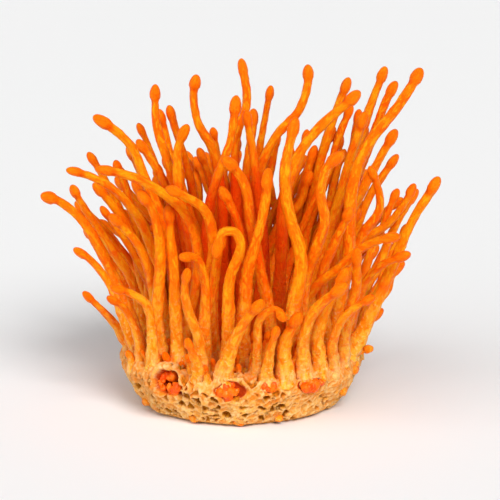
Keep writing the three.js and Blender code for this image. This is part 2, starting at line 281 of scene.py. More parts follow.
def grow_stalk(skin, points, r, seed, vigour=1.0, sides=SKIN_SIDES, step=SKIN_STEP):
    """Adds one fruiting body to a skin: a root that flares into the cake, a shaft that narrows all the
    way up, and an egg-shaped head on a thinner neck.

    points run from root to tip. vigour scales the flare."""
    rng = np.random.default_rng(seed)
    root = points[0] - [0, 0, SUNK]
    points = np.concatenate([[root], points])
    length = distances(points)[-1]
    head_r = r * HEAD_WIDTH * rng.uniform(*HEAD_WIDTH_SPREAD)
    head = r * HEAD_LENGTH * rng.uniform(*HEAD_LENGTH_SPREAD)
    head = min(head, LONGEST_HEAD * (length - SUNK))
    at = stalk_stations(length, head, step)
    line = smooth_line(points, np.append(at, length))
    up, left = at - SUNK, length - at

    # a slight wander of the middle line, none at its ends
    calm = np.clip(np.minimum(up, left) / CALM_LENGTH, 0, 1)[:, None]
    phase = rng.uniform(0, 2 * math.pi, 3)
    sway = [np.sin(at / way + phase[i]) for i, way in enumerate(WANDER_LENGTHS)]
    line[:-1] += WANDER * calm * np.stack([*sway, 0 * at], axis=1)

    # the section: a little oval and lobed, and uneven, most of all at the root
    turn = np.arange(sides) / sides * 2 * math.pi
    lobe_turn = turn[None, :] + phase[1] + at[:, None] / rng.uniform(*TWIST)
    lobes = rng.uniform(*OVAL) * np.cos(2 * lobe_turn)
    lobes = lobes + rng.uniform(*LOBED) * np.cos(3 * lobe_turn)
    body = np.minimum(1, left / (DOME_SHARE * head))[:, None]
    headed = smoothstep(1.2 * head, 0.8 * head, left)[:, None]
    grown = np.stack(
        [
            np.cos(turn)[None, :] * r + 0 * at[:, None] + seed * SEED_SHIFT,
            np.sin(turn)[None, :] * r + 0 * at[:, None],
            0 * turn[None, :] + at[:, None],
        ],
        axis=-1,
    )
    rough_root = 1 + ROUGH_ROOT * np.exp(-np.clip(up, 0, None) / ROUGH_LENGTH)[:, None]
    section = 1 + body * (lobes + skin_relief(grown) * rough_root * (1 - 0.3 * headed))

    # a dent under one side of the head, as most of them have, where the flesh gets painted shade
    dent_turn = rng.uniform(math.pi * 0.6, math.pi * 1.6)
    aside = np.angle(np.exp(1j * (turn - dent_turn)))[None, :]
    below = (left - 0.98 * head)[:, None]
    dent = np.exp(-((aside / DENT_WIDTH) ** 2)) * np.exp(-((below / DENT_LENGTH) ** 2))
    section -= rng.uniform(*DENT_DEPTH) * dent

    radius = stalk_radius(r, at, length, head, head_r, phase, calm[:, 0], vigour)
    reach = (radius[:, None] * section)[..., None]
    across, other = (way[:-1, None, :] for way in carried_frames(line))
    spoke = across * np.cos(turn)[None, :, None] + other * np.sin(turn)[None, :, None]
    rings = line[:-1, None, :] + reach * spoke

    def spread(values, foot, tip):
        return np.concatenate([np.broadcast_to(values, (len(at), sides)).ravel(), [foot, tip]])

    ripe = up * np.clip(PALE_HEIGHT / (length - SUNK), 1, 6)
    # how much painted shade each ring gets
    inner = depth_inside(line[:-1])
    shift = np.array([seed * SEED_SHIFT, 0, 0])
    skin.add(
        np.concatenate([rings.reshape(-1, 3), [line[0], line[-1]]]),
        tube_triangles(len(at), sides),
        from_root=spread(ripe[:, None], -SUNK, ripe[-1]),
        from_tip=spread(left[:, None] / head, length / head, 0),
        dent=spread(dent, 0, 0),
        inner=spread(inner[:, None], inner[0], inner[-1]),
        variety=spread(np.full((1, 1), rng.uniform(0, 1)), 0.5, 0.5),
        grown=np.concatenate([grown.reshape(-1, 3), [[0, 0, 0], [0, 0, length]] + shift]),
    )


# ---------------------------------------------------------------- the fruiting bodies in the tufts

# Where the heads of the fruiting bodies in each tuft are. The back tufts, which only show from behind,
# fan out instead.
TUFT_TIPS = {
    "left_tuft": [
        (-45, 12, 72), (-37, 9, 70), (-43, 5, 64), (-49, 17, 56), (-36, 18, 66),
        (-42, 21, 60), (-47, 25, 46), (-40, 7, 57), (-46, 8, 54),
    ],
    "middle_left_tuft": [
        (-30, 11, 81), (-24, 12, 85), (-21, 13, 86), (-22, 16, 74), (-28, 22, 71),
        (-16, 22, 68), (-33, 12, 74), (-19, 15, 66),
    ],
    "middle_tuft": [
        (-8, 14, 79), (4, 18, 84), (9, 13, 92), (-1, 25, 74), (-6, 27, 66),
        (6, 27, 68), (-12, 18, 72), (11, 19, 77),
    ],
    "middle_right_tuft": [
        (20, 16, 78), (32, 10, 95), (23, 15, 73), (33, 14, 86), (16, 24, 70), (26, 25, 73),
        (15, 15, 74), (28, 16, 79), (24, 9, 63), (27, 7, 58), (22, 14, 66),
    ],
    "right_tuft": [
        (43, 12, 98), (46, 10, 94), (31, 11, 73), (30, 20, 77), (38, 22, 78),
        (47, 19, 70), (37, 14, 84),
    ],
    "right_rim_tuft": [
        (47, 10, 61), (48.5, 9, 39), (42, 7, 25), (53, 15, 60), (44, 17, 51),
        (51, 21, 48), (41, 9, 44),
    ],
    "back_left_tuft": [],
    "back_middle_left_tuft": [],
    "back_middle_right_tuft": [],
    "back_right_tuft": [],
}
HALF_HEAD = 1.9
FAN_COUNT = 13
FAN_WIDTH = 1.75  # times half the width of the tuft's solid, to each side
ASIDE_STEP = 0.618  # how far each next one in a fan moves on across it, as a share of its width
LEAN_STEP = 0.755  # and as a share of the way out
LEANS = (0.3, 1.05)  # the least and most that they lean, in units of the solid's own lean
FAN_HEIGHT = 0.97  # of the tallest, in units of the solid's height
FAN_FALL = 0.42  # how much lower the lowest may be
GOLDEN_ANGLE = math.pi * (3 - math.sqrt(5))
ROOT_SPACING = 2.1  # times the square root of a root's number, outwards from the middle of a tuft
ROOT_LIMIT = 34.3  # how far from the cake's axis a root may be
CROWDED_TUFTS = ["middle_left_tuft", "middle_tuft", "middle_right_tuft", "right_tuft"]
UNDERSTOREY = 3  # shorter fruiting bodies between the others, added to each crowded tuft
UNDERSTOREY_HEIGHTS = (0.45, 0.75)  # in units of their neighbour's height
KNEE_REACH = 0.22  # how far out a stalk's bend is, as a share of its tip's reach
KNEE_HEIGHTS = (0.5, 0.62)
CONTROLS = 12
SAMPLES = 48
RELAX_STEPS = 60
GATHER_EVERY = 6  # steps between looking again for neighbours
NEIGHBOUR_REACH = 6.5
PUSH_GAIN = 1.5


def fanned_tips(line, width, rng):
    """Heads that fan out on both sides of a tuft's solid and lean outwards with it."""
    rise = line[-1] - line[0]
    side = np.cross(rise, [0, 0, 1])
    side /= np.linalg.norm(side)
    least, most = LEANS
    tips = []
    for i in range(FAN_COUNT):
        aside = 2 * (i * ASIDE_STEP % 1) - 1
        lean = least + (most - least) * (i * LEAN_STEP % 1)
        tall = FAN_HEIGHT - FAN_FALL * rng.uniform(0, 1) ** 2
        tips.append(line[0] + rise * [lean, lean, tall] + side * width * FAN_WIDTH * aside)
    return tips


def understorey_tips(tips, rng):
    """Heads of shorter fruiting bodies, a little behind some of the others."""
    lower_tips = []
    for i in range(UNDERSTOREY):
        lower = tips[2 * i + 1] + rng.uniform(-4, 4, 3) + [0, 5, 0]
        lower[2] = CAKE_TOP + (lower[2] - CAKE_TOP) * rng.uniform(*UNDERSTOREY_HEIGHTS)
        lower_tips.append(lower)
    return lower_tips


def member_routes(node, seed):
    """Rough routes of the fruiting bodies that a tuft stands for, from their roots to their tips."""
    rng = np.random.default_rng(seed)
    line, radii = centreline(node)
    tips = [np.array(tip, float) for tip in TUFT_TIPS[node]]
    if not tips:
        tips = fanned_tips(line, radii.max(), rng)
    elif node in CROWDED_TUFTS:
        tips += understorey_tips(tips, rng)
    routes = []
    for i, tip in enumerate(tips):
        angle = i * GOLDEN_ANGLE + seed
        away = ROOT_SPACING * math.sqrt(i + 0.3)
        root = line[0] + [math.cos(angle) * away, math.sin(angle) * away, 0]
        root[:2] *= min(1, ROOT_LIMIT / np.linalg.norm(root[:2]))
        knee = root + (tip - root) * [KNEE_REACH, KNEE_REACH, rng.uniform(*KNEE_HEIGHTS)]
        headward = (tip - knee) / np.linalg.norm(tip - knee)
        end = tip + HALF_HEAD * headward
        u = np.linspace(0, 1, CONTROLS)[:, None]
        routes.append((1 - u) ** 2 * root + 2 * u * (1 - u) * knee + u**2 * end)
    return routes


def push_clear(routes, radii, fixed, fixed_radii):
    """Moves routes apart, and off fixed points, until their stalks hardly touch. A root moves only
    sideways."""
    shares = np.linspace(0, CONTROLS - 1, SAMPLES)
    low = np.minimum(shares.astype(int), CONTROLS - 2)
    weights = np.zeros((SAMPLES, CONTROLS))
    weights[np.arange(SAMPLES), low] = 1 - (shares - low)
    weights[np.arange(SAMPLES), low + 1] = shares - low
    owner = np.repeat(np.arange(len(routes)), SAMPLES)
    own_r = np.repeat(radii, SAMPLES)
    for step in range(RELAX_STEPS):
        points = np.einsum("sk,mkc->msc", weights, routes).reshape(-1, 3)
        if step % GATHER_EVERY == 0:
            others = np.concatenate([points, fixed])
            gap = np.linalg.norm(points[:, None, :].astype(np.float32) - others[None, :, :], axis=2)
            near = gap < NEIGHBOUR_REACH
            near[:, : len(points)] &= owner[:, None] != owner[None, :]
            a, b = np.nonzero(near)
            wanted = own_r[a] + np.concatenate([own_r, fixed_radii])[b] + MEMBER_CLEARANCE
            share = np.where(b < len(points), 0.5, 1.0)
        others = np.concatenate([points, fixed])
        away = points[a] - others[b]
        apart = np.maximum(np.linalg.norm(away, axis=1), 1e-6)
        short = np.clip(wanted - apart, 0, None)
        push = away / apart[:, None] * (short * share)[:, None]
        total, hits = np.zeros_like(points), np.zeros(len(points))
        np.add.at(total, a, push)
        np.add.at(hits, a, short > 0)
        total = (total / np.maximum(hits, 1)[:, None]).reshape(len(routes), SAMPLES, 3)
        move = np.einsum("sk,msc->mkc", weights, total) / weights.sum(axis=0)[None, :, None]
        move[:, 0, 2] = 0
        smooth = move.copy()
        smooth[:, 1:-1] = 0.5 * move[:, 1:-1] + 0.25 * (move[:, 2:] + move[:, :-2])
        routes = routes + PUSH_GAIN * smooth
    return routes


# ---------------------------------------------------------------- materials


class Nodes:
    """Short words for building a node material."""

    def __init__(self, name):
        self.material = bpy.data.materials.new(name)
        self.material.use_nodes = True
        self.tree = self.material.node_tree
        self.shader = self.tree.nodes["Principled BSDF"]

    def link(self, value, socket):
        if isinstance(value, bpy.types.NodeSocket):
            self.tree.links.new(value, socket)
        else:
            socket.default_value = value

    def number(self, name, vector=False):
        node = self.tree.nodes.new("ShaderNodeAttribute")
        node.attribute_name = name
        return node.outputs["Vector" if vector else "Fac"]

    def math(self, operation, a, b=0.0, c=0.0):
        node = self.tree.nodes.new("ShaderNodeMath")
        node.operation = operation
        for value, socket in zip((a, b, c), node.inputs):
            self.link(value, socket)
        return node.outputs[0]

    def step(self, value, low, high, to_low=0.0, to_high=1.0):
        node = self.tree.nodes.new("ShaderNodeMapRange")
        node.interpolation_type = "SMOOTHSTEP"
        for given, socket in zip((value, low, high, to_low, to_high), node.inputs):
            self.link(given, socket)
        return node.outputs["Result"]

    def mix(self, share, a, b, blend="MIX"):
        node = self.tree.nodes.new("ShaderNodeMix")
        node.data_type = "RGBA"
        node.blend_type = blend
        self.link(share, node.inputs[0])
        for value, socket in ((a, node.inputs[6]), (b, node.inputs[7])):
            self.link((*value, 1) if isinstance(value, tuple) else value, socket)
        return node.outputs[2]

    def scaled(self, vector, scale):
        node = self.tree.nodes.new("ShaderNodeVectorMath")
        node.operation = "MULTIPLY"
        self.link(vector, node.inputs[0])
        node.inputs[1].default_value = scale
        return node.outputs[0]

    def place(self):
        """Where the surface is, in millimetres."""
        node = self.tree.nodes.new("ShaderNodeTexCoord")
        return self.scaled(node.outputs["Object"], (1 / MM, 1 / MM, 1 / MM))

    def noise(self, vector, scale, detail=2.0, roughness=0.5, distortion=0.0):
        node = self.tree.nodes.new("ShaderNodeTexNoise")
        self.link(vector, node.inputs["Vector"])
        node.inputs["Scale"].default_value = scale
        node.inputs["Detail"].default_value = detail
        node.inputs["Roughness"].default_value = roughness
        node.inputs["Distortion"].default_value = distortion
        return node.outputs["Fac"]

    def bump(self, height, distance, strength=1.0):
        node = self.tree.nodes.new("ShaderNodeBump")
        self.link(height, node.inputs["Height"])
        node.inputs["Distance"].default_value = distance * MM
        node.inputs["Strength"].default_value = strength
        self.link(node.outputs["Normal"], self.shader.inputs["Normal"])

    def finish(self, **sockets):
        for name, value in sockets.items():
            socket = self.shader.inputs[name.replace("_", " ")]
            if isinstance(value, tuple) and len(socket.default_value) == 4:
                value = (*value, 1)
            self.link(value, socket)
        return self.material


def flesh_material():
    """Waxy orange flesh: pale and mottled at the root, orange up the shaft, with painted shade in deep
    red inside the bunch and in the dent under the head."""
    n = Nodes("fruiting_body_flesh")
    grown, up, left = n.number("grown", vector=True), n.number("from_root"), n.number("from_tip")
    variety, dent, inner = n.number("variety"), n.number("dent"), n.number("inner")
    blotches = n.noise(grown, 0.22, detail=3)
    streaks = n.noise(n.scaled(grown, (1, 1, 0.2)), 0.9, detail=3, distortion=0.5)
    flecks = n.noise(n.scaled(grown, (1, 1, 0.4)), 0.75, detail=2, distortion=0.8)
    specks = n.noise(grown, 1.3, detail=3, roughness=0.6)

    shaft = n.mix(n.step(blotches, 0.35, 0.65), (0.94, 0.3, 0.003), (0.93, 0.155, 0.0015))
    shaft = n.mix(n.math("MULTIPLY", variety, 0.65), shaft, (0.92, 0.12, 0.001))
    shaft = n.mix(n.step(flecks, 0.5, 0.62, 0.0, 0.6), shaft, (0.97, 0.41, 0.008))
    shaft = n.mix(n.step(flecks, 0.4, 0.3, 0.0, 0.5), shaft, (0.88, 0.09, 0.001))
    # painted shade: deep red, more of it deeper inside the bunch, where less light reaches
    depth = n.step(inner, 0.3, 0.8, 0.0, 0.85)
    shaft = n.mix(depth, shaft, (0.76, 0.03, 0.0003))
    head = n.mix(n.step(left, 0.9, 1.2, 0.7, 0.0), shaft, (0.94, 0.155, 0.0012))
    head = n.mix(n.step(specks, 0.58, 0.7, 0.0, 0.45), head, (0.85, 0.075, 0.0008))
    # painted shade: darker red in the dent under the head
    head = n.mix(n.math("MULTIPLY", dent, 0.7), head, (0.72, 0.035, 0.0003))

    height = n.math("ADD", up, n.math("MULTIPLY_ADD", streaks, -22.0, 11.0))
    pale = n.mix(n.step(flecks, 0.42, 0.58), (0.93, 0.25, 0.004), (0.95, 0.42, 0.035))
    pale = n.mix(n.step(specks, 0.54, 0.68, 0.0, 0.8), pale, (0.97, 0.63, 0.2))
    foot = n.math("MULTIPLY", n.step(up, 1.0, 9.0, 0.75, 0.0), n.step(streaks, 0.42, 0.58))
    pale = n.mix(foot, pale, (0.95, 0.56, 0.2))
    # no pale root where the painted shade is
    paleness = n.math("MULTIPLY", n.step(height, 2.0, 34.0, 0.95, 0.0), n.math("SUBTRACT", 1.0, depth))
    colour = n.mix(paleness, head, pale)

    wrinkles = n.noise(n.scaled(grown, (1, 1, 0.35)), 1.6, detail=4, roughness=0.6)
    n.bump(n.math("ADD", wrinkles, n.math("MULTIPLY", specks, 0.8)), 0.5, 0.9)
    return n.finish(
        Base_Color=colour,
        Roughness=n.step(specks, 0.3, 0.7, 0.3, 0.5),
        IOR=1.4,
        Specular_IOR_Level=0.35,
        Specular_Tint=(1.0, 0.42, 0.09),
        Subsurface_Weight=0.3,
        Subsurface_Radius=(1.0, 0.14, 0.02),
        Subsurface_Scale=1.6 * MM,
    )


def cake_material():
    """Grain bound by mycelium: cream ridges, ochre and brown pits, orange near the roots, and painted
    shade in dark red inside the open hollows.
    """
    n = Nodes("mycelium_cake")
    place, pit, stain = n.place(), n.number("pit"), n.number("stain")
    clouds = n.noise(place, 0.16, detail=3)
    mottle = n.noise(place, 0.8, detail=4, roughness=0.6)
    grains = n.noise(place, 2.6, detail=3, roughness=0.6)

    skin = n.mix(n.step(mottle, 0.35, 0.65), (0.81, 0.38, 0.08), (0.77, 0.285, 0.035))
    skin = n.mix(n.step(clouds, 0.4, 0.58, 0.0, 0.85), skin, (0.8, 0.23, 0.01))
    ridge = n.mix(n.step(mottle, 0.4, 0.6), (0.91, 0.58, 0.24), (0.88, 0.43, 0.09))
    skin = n.mix(n.math("MULTIPLY", n.number("thread"), 0.85), skin, ridge)
    skin = n.mix(n.step(grains, 0.6, 0.75, 0.0, 0.4), skin, (0.94, 0.6, 0.24))
    hollow = n.mix(n.step(mottle, 0.4, 0.6), (0.36, 0.1, 0.002), (0.6, 0.24, 0.012))
    colour = n.mix(n.step(pit, 0.25, 0.95), skin, hollow)
    rind = n.math("MULTIPLY", stain, n.step(mottle, 0.36, 0.6, 0.1, 1.0))
    colour = n.mix(rind, colour, (0.9, 0.2, 0.004))
    # painted shade: dark red inside the open hollows
    colour = n.mix(n.number("cavity"), colour, (0.42, 0.03, 0.0008))

    n.bump(n.math("ADD", grains, n.math("MULTIPLY", mottle, 1.5)), 0.35, 0.8)
    return n.finish(
        Base_Color=colour,
        Roughness=n.step(grains, 0.3, 0.7, 0.5, 0.8),
        Specular_IOR_Level=0.3,
        Specular_Tint=(1.0, 0.65, 0.3),
        Subsurface_Weight=0.05,
        Subsurface_Radius=(1.0, 0.55, 0.25),
        Subsurface_Scale=0.5 * MM,
    )


def nodule_material():
    """Glossy red-orange grains of flesh."""
    n = Nodes("nodule_flesh")
    place = n.place()
    clouds = n.noise(place, 0.35, detail=3)
    specks = n.noise(place, 1.8, detail=3)
    colour = n.mix(n.step(clouds, 0.38, 0.62), (0.9, 0.075, 0.001), (0.95, 0.17, 0.003))
    colour = n.mix(n.step(specks, 0.6, 0.78, 0.0, 0.4), colour, (0.95, 0.3, 0.02))
    n.bump(specks, 0.15, 0.6)
    return n.finish(
        Base_Color=colour,
        Roughness=n.step(specks, 0.3, 0.7, 0.22, 0.4),
        Specular_Tint=(1.0, 0.6, 0.3),
        Subsurface_Weight=0.25,
        Subsurface_Radius=(1.0, 0.3, 0.08),
        Subsurface_Scale=1.2 * MM,
    )


def floor_material():
    n = Nodes("studio_paper")
    fibres = n.noise(n.place(), 0.4, detail=3)
    n.bump(fibres, 0.05, 0.2)
    return n.finish(Base_Color=(0.9, 0.9, 0.9), Roughness=0.7, Specular_IOR_Level=0.2)


# ---------------------------------------------------------------- the cake

CAKE_COLUMNS = 720
WALL_ROWS = 76
TOP_ROWS = 34
FOOT_ROWS = 4
CELL = 2.5  # across a pit between grains
CELL_HEIGHT = 1.05  # in units of its width
CELL_WARP = 0.38
SWELL_HEIGHT = 1.1
RIDGE_HEIGHT = 0.35
THREAD_HEIGHT = 0.15
PIT_DEPTHS = (0.15, 2.5)  # the least, and how much deeper the deepest is
MOUND_HEIGHT = 4.6
MOUND_UNEVENNESS = 3.0
MOUND_WIDTH = 2.9
RIB_HEIGHT = 1.1
RIB_WIDTH = 4.2
BROW_HEIGHT = 0.17  # in units of half the hollow's height
SOFT_ROWS = 9  # rows that the wall's corners are rounded over
# Open hollows in the wall: the angle and height of their middle, half their width and height, and
# their depth.
HOLLOWS = [
    (233, 12.6, 4.8, 4.0, 4.6),
    (266, 12.4, 4.8, 2.8, 1.7),
    (284, 13.2, 2.6, 1.8, 1.1),
    (307, 12.2, 4.2, 1.8, 1.1),
    (25, 11.5, 4.0, 2.6, 2.6),
    (72, 11.8, 3.6, 2.8, 2.8),
    (128, 11.6, 4.4, 2.6, 2.6),
    (171, 12.2, 3.8, 2.2, 2.4),
]


def hashed(points):
    """A steady number from 0 to 1 for each point."""
    return np.abs(np.sin(points @ np.array([12.9898, 78.233, 37.719])) * 43758.5453) % 1


def cake_outline(turn):
    """The cake's section at each angle, from the CAD cake's rings: radius and height, foot first."""
    rings, _ = rings_of("substrate_cake")
    radii, heights = [], []
    for ring in rings:
        angle = np.arctan2(ring[:, 1], ring[:, 0]) % (2 * math.pi)
        order = np.argsort(angle)
        reach = np.hypot(ring[:, 0], ring[:, 1])[order]
        radii.append(np.interp(turn, angle[order], reach, period=2 * math.pi))
        heights.append(ring[:, 2].mean())
    return np.array(radii), np.array(heights)


def softened(column):
    """A running mean along a column of the wall."""
    padded = np.pad(column, SOFT_ROWS // 2, mode="edge")
    return np.convolve(padded, np.ones(SOFT_ROWS) / SOFT_ROWS, mode="valid")


def cake_surface():
    """The smooth surface of the cake as a grid of rows and columns, foot to top, and its outward
    directions."""
    turn = np.arange(CAKE_COLUMNS) / CAKE_COLUMNS * 2 * math.pi
    radii, heights = cake_outline(turn)
    knots = distances(np.stack([radii.mean(axis=1), heights], axis=1))
    at = np.linspace(0, knots[-1], WALL_ROWS)
    wall_r = np.array([np.interp(at, knots, column) for column in radii.T]).T
    wall_z = softened(np.interp(at, knots, heights))
    wall_r = np.apply_along_axis(softened, 0, wall_r)
    foot_share = np.linspace(0, 1, FOOT_ROWS + 1)[1:-1, None]
    top_share = np.linspace(1, 0, TOP_ROWS + 1)[1:-1, None]
    r = np.concatenate([wall_r[0] * foot_share, wall_r, wall_r[-1] * top_share])
    z = np.concatenate([np.full(FOOT_ROWS - 1, wall_z[0]), wall_z, np.full(TOP_ROWS - 1, wall_z[-1])])
    z = np.broadcast_to((z - wall_z[0])[:, None], r.shape)
    grid = np.stack([r * np.cos(turn), r * np.sin(turn), z], axis=-1)
    rise = np.gradient(z[:, 0])
    run = np.gradient(r.mean(axis=1))
    run[FOOT_ROWS + WALL_ROWS :] = -1
    rise[FOOT_ROWS + WALL_ROWS :] = 0
    size = np.hypot(rise, run)
    outward, upward = (rise / size)[:, None], (-run / size)[:, None]
    normal = np.stack([outward * np.cos(turn), outward * np.sin(turn), upward + 0 * turn], axis=-1)
    return grid, normal


def grain_cells(flat, radius):
    """The cells between grains: some deep, some only dimples, some grown over.

    For each point: how deep its pit is, how far it is inside its cell, how open the cells are there, and
    how near it is to a thread."""
    warp = np.stack([noise_at(flat / 1.9 + k) for k in (3, 17, 41)], axis=1)
    place = flat * [1, 1, CELL_HEIGHT] / CELL + CELL_WARP * warp
    near = [noise.voronoi(Vector(p)) for p in place]
    first = np.array([d[0] for d, _ in near])
    second = np.array([d[1] for d, _ in near])
    chance = hashed(np.array([c[0][:] for _, c in near]).round(3))
    inside = smoothstep(0.03, 0.32, second - first)
    openness = noise_at(flat / 8 + 77) + 0.08 - 0.3 * flat[:, 0] / radius.max()
    open_cells = smoothstep(-0.3, 0.15, openness)
    least, more = PIT_DEPTHS
    depth = least + more * smoothstep(0.2, 0.95, chance) * (0.12 + 0.88 * open_cells)
    small = [noise.voronoi(Vector(p)) for p in place * 2.1 + 50]
    threads = smoothstep(0.25, 0.02, np.array([d[1] - d[0] for d, _ in small]))
    return inside * depth, inside, open_cells, threads


def cake_piece(roots, material):
    """The cake with its cells, hollows, mounds under the roots and orange stain."""
    grid, normal = cake_surface()
    flat, out = grid.reshape(-1, 3), normal.reshape(-1, 3)
    x, y, z = flat.T
    radius = np.hypot(x, y)

    # swells and cells
    swells = noise_at(flat / 7) + 0.5 * noise_at(flat / 3.2 + 9)
    pit, inside, open_cells, threads = grain_cells(flat, radius)
    ridges = RIDGE_HEIGHT * (1 - inside) * open_cells
    push = SWELL_HEIGHT * swells + ridges + THREAD_HEIGHT * threads - pit

    # mounds of pale flesh at the roots, which run down the wall as ribs
    apart = np.hypot(x[:, None] - roots[None, :, 0], y[:, None] - roots[None, :, 1])
    closest = apart.min(axis=1)
    mound = np.exp(-((closest / MOUND_WIDTH) ** 2))
    on_top = smoothstep(CAKE_TOP - 2.5, CAKE_TOP, z)
    lift = (MOUND_HEIGHT + MOUND_UNEVENNESS * swells) * mound * on_top
    rib = np.exp(-((closest / RIB_WIDTH) ** 2)) * smoothstep(4, CAKE_TOP, z) * (1 - on_top)
    push += RIB_HEIGHT * rib
    pit *= 1 - 0.6 * mound * on_top

    # open hollows, under a raised stretch of the rim
    stained, cavity, crest, dug = np.zeros((4, len(flat)))
    angle = np.degrees(np.arctan2(y, x)) % 360
    for middle, height, half_width, half_height, deep in HOLLOWS:
        along = np.radians((angle - middle + 180) % 360 - 180) * radius / half_width
        over = max(0, height + half_height + 0.5 - CAKE_TOP)
        raised = over * on_top * smoothstep(26, 32, radius)
        lift = np.maximum(lift, raised * np.exp(-0.5 * along**4))
        up = (z + lift - height) / half_height
        bowl = np.clip(1 - (along**2 + up**2) * (1 + 0.9 * swells), 0, 1)
        bowl = smoothstep(0, 0.6, bowl) * (z > 2)
        push *= 1 - bowl
        pit *= 1 - bowl
        dug = np.maximum(dug, deep * bowl)
        ring = smoothstep(1.9, 1.0, along**2 + up**2) * (1 - bowl)
        brow = ring * smoothstep(-0.1, 0.6, up)
        push += BROW_HEIGHT * half_height * brow * (1 + 1.2 * swells)
        crest = np.maximum(crest, brow)
        stained = np.maximum(stained, 0.5 * (ring - brow))
        # the inside of a hollow, which gets painted shade
        cavity = np.maximum(cavity, smoothstep(0.02, 0.3, bowl))

    # the points move, and none goes under the floor
    resting = smoothstep(0.2, 2.2, z)
    flat = flat + out * (push * resting)[:, None]
    flat[:, :2] *= (1 - dug / np.maximum(radius, dug + 1))[:, None]
    flat[:, 2] = np.maximum(flat[:, 2] + lift, 0)
    high = smoothstep(8, CAKE_TOP + 1, z + 4.5 * noise_at(flat / 4 + 5) + 1.2 * mound)
    low = smoothstep(0.62, 0.9, noise_at(flat / 5 + 60) * 0.5 + 0.5) * (z < 5)
    stain = np.clip(0.6 * high + 0.8 * low + stained, 0, 1) * (1 - 0.7 * crest)
    skin = Skin()
    ends = [[0, 0, 0], [0, 0, CAKE_TOP - 0.5]]
    skin.add(
        np.concatenate([flat, ends]),
        tube_triangles(*grid.shape[:2]),
        pit=np.append(pit, [0, 0]),
        thread=np.append(np.maximum.reduce([0.5 * threads, 1 - inside, crest]), [0, 0]),
        cavity=np.append(cavity, [0, 0]),
        stain=np.append(stain, [0, 1]),
    )
    skin.to_object("cake_crust", material, ["substrate_cake"], "substrate")


# ---------------------------------------------------------------- nodules and buds

# Nodules in the hollows.
NODULES_PER_AREA = 1.15
FEWEST_NODULES = 3
NODULE_SIZES = (0.65, 0.95)  # half the least, and how much more the largest has
NODULE_UNEVENNESS = 0.2
# Where a lump's colours come from: the same distances on a fruiting body, and its depth of painted
# shade.
LUMP_FROM_ROOT, LUMP_FROM_TIP, LUMP_PAINTED_SHADE_DEPTH = 17, 0.5, 0.3

# A young fruiting body that stands out sideways over the rim: its root, the middle of its round head,
# and the radius of its neck and of its head.
RIM_BUD = ((34.5, -5, 14.8), (38.4, -5, 16.6), 0.75, 1.4)
# Lumps of orange flesh on the wall: angle, height, and half their size.
WALL_LUMPS = [
    (245, 1.9, 1.7),
    (270, 1.8, 1.8),
    (292, 2.0, 1.3),
    (336, 6.2, 1.9),
    (342, 11.8, 1.6),
    (8, 4.5, 1.6),
    (48, 2.2, 1.7),
    (95, 6.5, 1.5),
    (147, 2.4, 1.8),
    (208, 3.2, 1.7),
]
BUD_COUNT = 110
BUD_TRIES = 6000
BUD_LIMIT = 35.2  # how far from the cake's axis a bud may be
BUD_SPACING = 2.7
BUD_VIGOUR = 0.5
BUD_RADII = (0.8, 1.3)
BUD_HEIGHTS = (2.0, 8.0)
THICKET = (2, 17, -31, -16)  # where the buds are tallest: from x to x, from y to y
THICKET_HEIGHTS = (8, 16)
BUD_LEAN = 0.45  # of its height, for a bud at the next distance from the cake's axis
LEAN_REACH = 35
HOLLOW_MARGIN = 1.8  # no bud is nearer than this to an open hollow


def blob(skin, middle, axes, seed, turned=0.0, unevenness=0.12):
    """Adds a small uneven ball to a skin.

    axes are its half sizes, before it is turned about the upright."""
    bm = bmesh.new()
    bmesh.ops.create_icosphere(bm, subdivisions=3, radius=1)
    ball = np.array([v.co[:] for v in bm.verts])
    triangles = np.array([[v.index for v in f.verts] for f in bm.faces])
    bm.free()
    shape = 1 + unevenness * 2 * noise_at(ball * 1.1 + seed * 3.7)
    x, y, z = (ball * np.array(axes) * shape[:, None]).T
    across, along = math.cos(turned), math.sin(turned)
    points = middle + np.stack([x * across - y * along, x * along + y * across, z], axis=1)
    flat = np.zeros(len(points))
    skin.add(
        points,
        triangles,
        from_root=flat + LUMP_FROM_ROOT,
        from_tip=flat + LUMP_FROM_TIP,
        dent=flat,
        inner=flat + LUMP_PAINTED_SHADE_DEPTH,
        variety=flat + 0.5 + 0.5 * math.sin(seed),
        grown=points,
    )


@functools.cache
def wall_radius(height):
    """How far out the cake's wall is at a height."""
    radii, heights = cake_outline(np.zeros(1))
    return float(np.interp(height, heights, radii[:, 0]))


def nodules_piece(material):
    """Clusters of glossy grains in the open hollows, which lie deeper near the top of each."""
    rng = np.random.default_rng(NODULE_SEED)
    least, more = NODULE_SIZES
    skin = Skin()
    for middle, height, half_width, half_height, deep in HOLLOWS:
        for i in range(int(half_width * half_height * NODULES_PER_AREA) + FEWEST_NODULES):
            share, spin = math.sqrt(rng.uniform(0, 0.85)), rng.uniform(0, 2 * math.pi)
            up = height + half_height * (0.75 * share * math.sin(spin) - 0.18)
            low = 0.5 - 0.5 * (up - height) / half_height
            aside = half_width * 0.85 * share * math.cos(spin)
            angle = math.radians(middle) + aside / wall_radius(height)
            size = least + more * rng.uniform(0, 1) ** 1.5
            reach = wall_radius(up) - deep * (0.46 - 0.3 * low) - 0.3
            place = [reach * math.cos(angle), reach * math.sin(angle), up]
            axes = [size, size, size * rng.uniform(0.9, 1.4)]
            blob(skin, place, axes, rng.uniform(0, 99), unevenness=NODULE_UNEVENNESS)
    skin.to_object("pit_nodules", material)


def near_hollow(x, y):
    """Whether a bud here would stand in front of an open hollow."""
    for middle, height, half_width, _, _ in HOLLOWS:
        angle = math.radians(middle)
        reach = wall_radius(height)
        apart = math.hypot(x - reach * math.cos(angle), y - reach * math.sin(angle))
        if apart < half_width + HOLLOW_MARGIN:
            return True
    return False


